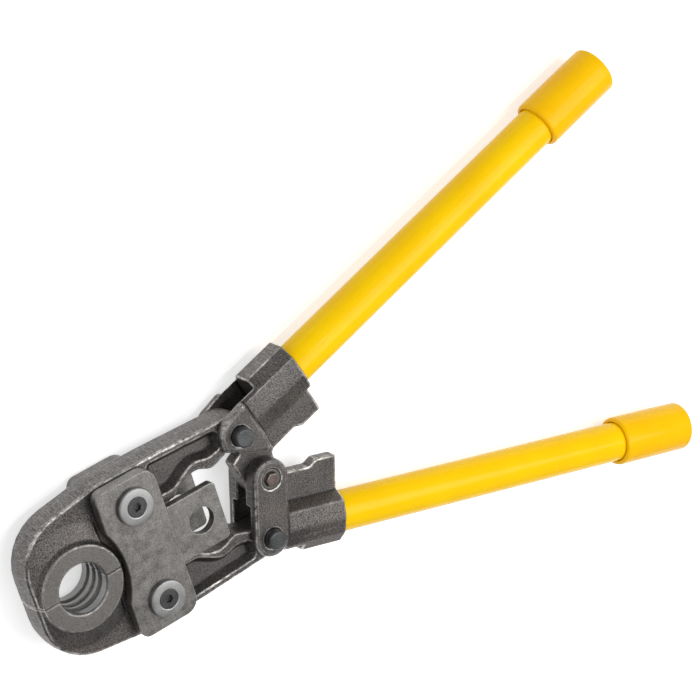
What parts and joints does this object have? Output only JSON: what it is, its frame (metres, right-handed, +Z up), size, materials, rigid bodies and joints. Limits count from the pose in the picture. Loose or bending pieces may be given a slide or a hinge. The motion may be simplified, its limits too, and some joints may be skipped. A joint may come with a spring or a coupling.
{
  "type": "pipe press pliers",
  "caption": "Hand press pliers for pipe fittings: a split press ring in two forged jaws, strap plates, a double-lever toggle linkage and long yellow tube handles.",
  "frame": {"origin": "on the surface the tool lies on, under the middle of its box", "axes": "+X along the tool from the press ring to the grips, +Z up through its faces, Y the way the jaws and handles open"},
  "size_m": [0.3994, 0.2426, 0.036],
  "materials": {
    "forging": "dark phosphated forging, fine grain, bright worn edges",
    "plate": "dark grey phosphated plate, satin",
    "zinc": "zinc plated, satin",
    "pin": "blackened, smooth",
    "bronzed": "browned, satin",
    "tube_paint": "gloss yellow powder coat",
    "grip_plastic": "gloss yellow dipped sleeve"
  },
  "bodies": {
    "straps": {"strap_front": "plate", "strap_rear": "plate", "jaw_pivot_upper": "pin", "jaw_pivot_lower": "pin", "washer_upper_front": "zinc", "washer_lower_front": "zinc", "washer_upper_rear": "zinc", "washer_lower_rear": "zinc", "screw_upper_front": "pin", "screw_lower_front": "pin", "screw_upper_rear": "pin", "screw_lower_rear": "pin"},
    "jaw_upper_body": {"jaw_upper": "forging"},
    "jaw_lower_body": {"jaw_lower": "forging"},
    "handle_upper": {"lever_upper": "forging", "lever_pin_upper": "pin", "tube_upper": "tube_paint", "grip_upper": "grip_plastic"},
    "handle_lower": {"lever_lower": "forging", "lever_pin_lower": "pin", "centre_pin": "bronzed", "centre_bush_front": "pin", "centre_bush_rear": "pin", "tube_lower": "tube_paint", "grip_lower": "grip_plastic"}
  },
  "joints": [
    {"name": "jaw_upper_hinge", "type": "hinge", "parent": "straps", "child": "jaw_upper_body", "pos_m": [-0.13743, 0.0263, 0.018], "axis": [0, 0, 1], "range_deg": [-10.02, 0]},
    {"name": "jaw_lower_hinge", "type": "hinge", "parent": "straps", "child": "jaw_lower_body", "pos_m": [-0.13743, -0.0263, 0.018], "axis": [0, 0, 1], "range_deg": [0, 10.02]},
    {"name": "lever_upper_hinge", "type": "hinge", "parent": "jaw_upper_body", "child": "handle_upper", "pos_m": [-0.07193, 0.0298, 0.018], "axis": [0, 0, 1], "range_deg": [0, 49.5]},
    {"name": "lever_lower_hinge", "type": "hinge", "parent": "jaw_lower_body", "child": "handle_lower", "pos_m": [-0.07193, -0.0298, 0.018], "axis": [0, 0, 1], "range_deg": [-49.5, 0]}
  ],
  "couplings": [
    {"joint": "jaw_upper_hinge", "follows": "lever_upper_hinge", "ratio": -0.20202},
    {"joint": "jaw_lower_hinge", "follows": "lever_upper_hinge", "ratio": 0.20202},
    {"joint": "lever_lower_hinge", "follows": "lever_upper_hinge", "ratio": -1}
  ]
}
